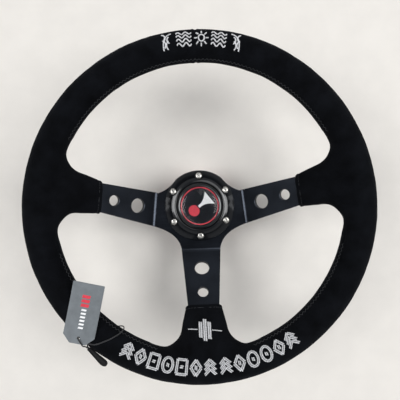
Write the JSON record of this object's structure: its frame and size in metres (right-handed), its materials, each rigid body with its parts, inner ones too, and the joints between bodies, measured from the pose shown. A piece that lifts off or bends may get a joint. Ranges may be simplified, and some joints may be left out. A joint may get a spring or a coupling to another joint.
{
  "type": "quick release steering wheel",
  "caption": "Deep-dish steering wheel with bent spokes, suede-wrapped round rim, sprung horn button and a ball-lock quick release coupler with a pull collar behind the hub.",
  "frame": {"origin": "centre of the coupler's back face, on the steering axis, which the wheel rests on", "axes": "+Z along the steering axis towards the driver, +Y towards 12 o'clock of the rim, +X towards 3 o'clock"},
  "size_m": [0.35, 0.35, 0.1511],
  "materials": {
    "spoke_metal": "satin anodised plate",
    "core_metal": "drawn tube",
    "foam": "moulded polyurethane foam",
    "suede": "brushed suede",
    "thread": "waxed thread",
    "ring_gloss": "gloss black",
    "bolt_metal": "bright zinc",
    "black_plastic": "moulded",
    "cap_gloss": "gloss black",
    "emblem": "printed disc with a red ring and a plain horn sign",
    "clear_resin": "clear domed resin",
    "contact_brass": "plain",
    "spring_steel": "drawn wire",
    "coupler_metal": "black anodised",
    "ball_steel": "polished",
    "collar_metal": "red anodised",
    "tag_card": "coated card",
    "string": "braided cord"
  },
  "bodies": {
    "wheel": {"spoke_frame": "spoke_metal", "rim_core": "core_metal", "rim_foam": "foam", "suede_wrap": "suede", "seam_thread_top": "thread", "seam_thread_right": "thread", "seam_thread_left": "thread", "hem_thread_right": "thread", "hem_thread_left": "thread", "hem_thread_bottom": "thread", "horn_ring": "ring_gloss", "ring_bolt_1": "bolt_metal", "ring_bolt_2": "bolt_metal", "ring_bolt_3": "bolt_metal", "ring_bolt_4": "bolt_metal", "ring_bolt_5": "bolt_metal", "ring_bolt_6": "bolt_metal", "horn_cup": "black_plastic", "horn_contact_lower": "contact_brass", "horn_terminal_signal": "contact_brass", "horn_terminal_ground": "contact_brass", "coupler_body": "coupler_metal", "contact_insulator": "black_plastic", "retaining_ring": "spring_steel", "tag_string": "string", "tag_seal": "black_plastic"},
    "horn_button": {"horn_cap": "cap_gloss", "horn_emblem": "emblem", "horn_lens": "clear_resin", "horn_contact_upper": "contact_brass", "horn_spring": "spring_steel"},
    "collar": {"release_collar": "collar_metal", "collar_spring": "spring_steel"},
    "ball_1": {"lock_ball_1": "ball_steel"},
    "ball_2": {"lock_ball_2": "ball_steel"},
    "ball_3": {"lock_ball_3": "ball_steel"},
    "ball_4": {"lock_ball_4": "ball_steel"},
    "ball_5": {"lock_ball_5": "ball_steel"},
    "ball_6": {"lock_ball_6": "ball_steel"},
    "pin": {"contact_pin": "contact_brass"},
    "tag": {"hang_tag": "tag_card"}
  },
  "joints": [
    {"name": "horn_press", "type": "slide", "parent": "wheel", "child": "horn_button", "axis": [0, 0, -1], "range_m": [0, 0.0025], "stiffness_N_per_m": 3000, "springref_m": -0.002, "deforming": ["horn_spring"]},
    {"name": "collar_pull", "type": "slide", "parent": "wheel", "child": "collar", "axis": [0, 0, 1], "range_m": [0, 0.007], "stiffness_N_per_m": 2000, "springref_m": -0.005, "deforming": ["collar_spring"]},
    {"name": "ball_1_slide", "type": "slide", "parent": "wheel", "child": "ball_1", "axis": [0.866, 0.5, 0], "range_m": [0, 0.0016]},
    {"name": "ball_2_slide", "type": "slide", "parent": "wheel", "child": "ball_2", "axis": [0, 1, 0], "range_m": [0, 0.0016]},
    {"name": "ball_3_slide", "type": "slide", "parent": "wheel", "child": "ball_3", "axis": [-0.866, 0.5, 0], "range_m": [0, 0.0016]},
    {"name": "ball_4_slide", "type": "slide", "parent": "wheel", "child": "ball_4", "axis": [-0.866, -0.5, 0], "range_m": [0, 0.0016]},
    {"name": "ball_5_slide", "type": "slide", "parent": "wheel", "child": "ball_5", "axis": [0, -1, 0], "range_m": [0, 0.0016]},
    {"name": "ball_6_slide", "type": "slide", "parent": "wheel", "child": "ball_6", "axis": [0.866, -0.5, 0], "range_m": [0, 0.0016]},
    {"name": "pin_press", "type": "slide", "parent": "wheel", "child": "pin", "axis": [0, 0, 1], "range_m": [0, 0.002], "stiffness_N_per_m": 400, "springref_m": -0.002},
    {"name": "tag_swing", "type": "hinge", "parent": "wheel", "child": "tag", "pos_m": [-0.1199, -0.1184, 0.1483], "axis": [0.9728, -0.2317, 0], "range_deg": [0, 40]}
  ],
  "couplings": [
    {"joint": "ball_1_slide", "follows": "collar_pull", "ratio": 0.2286},
    {"joint": "ball_2_slide", "follows": "collar_pull", "ratio": 0.2286},
    {"joint": "ball_3_slide", "follows": "collar_pull", "ratio": 0.2286},
    {"joint": "ball_4_slide", "follows": "collar_pull", "ratio": 0.2286},
    {"joint": "ball_5_slide", "follows": "collar_pull", "ratio": 0.2286},
    {"joint": "ball_6_slide", "follows": "collar_pull", "ratio": 0.2286}
  ]
}
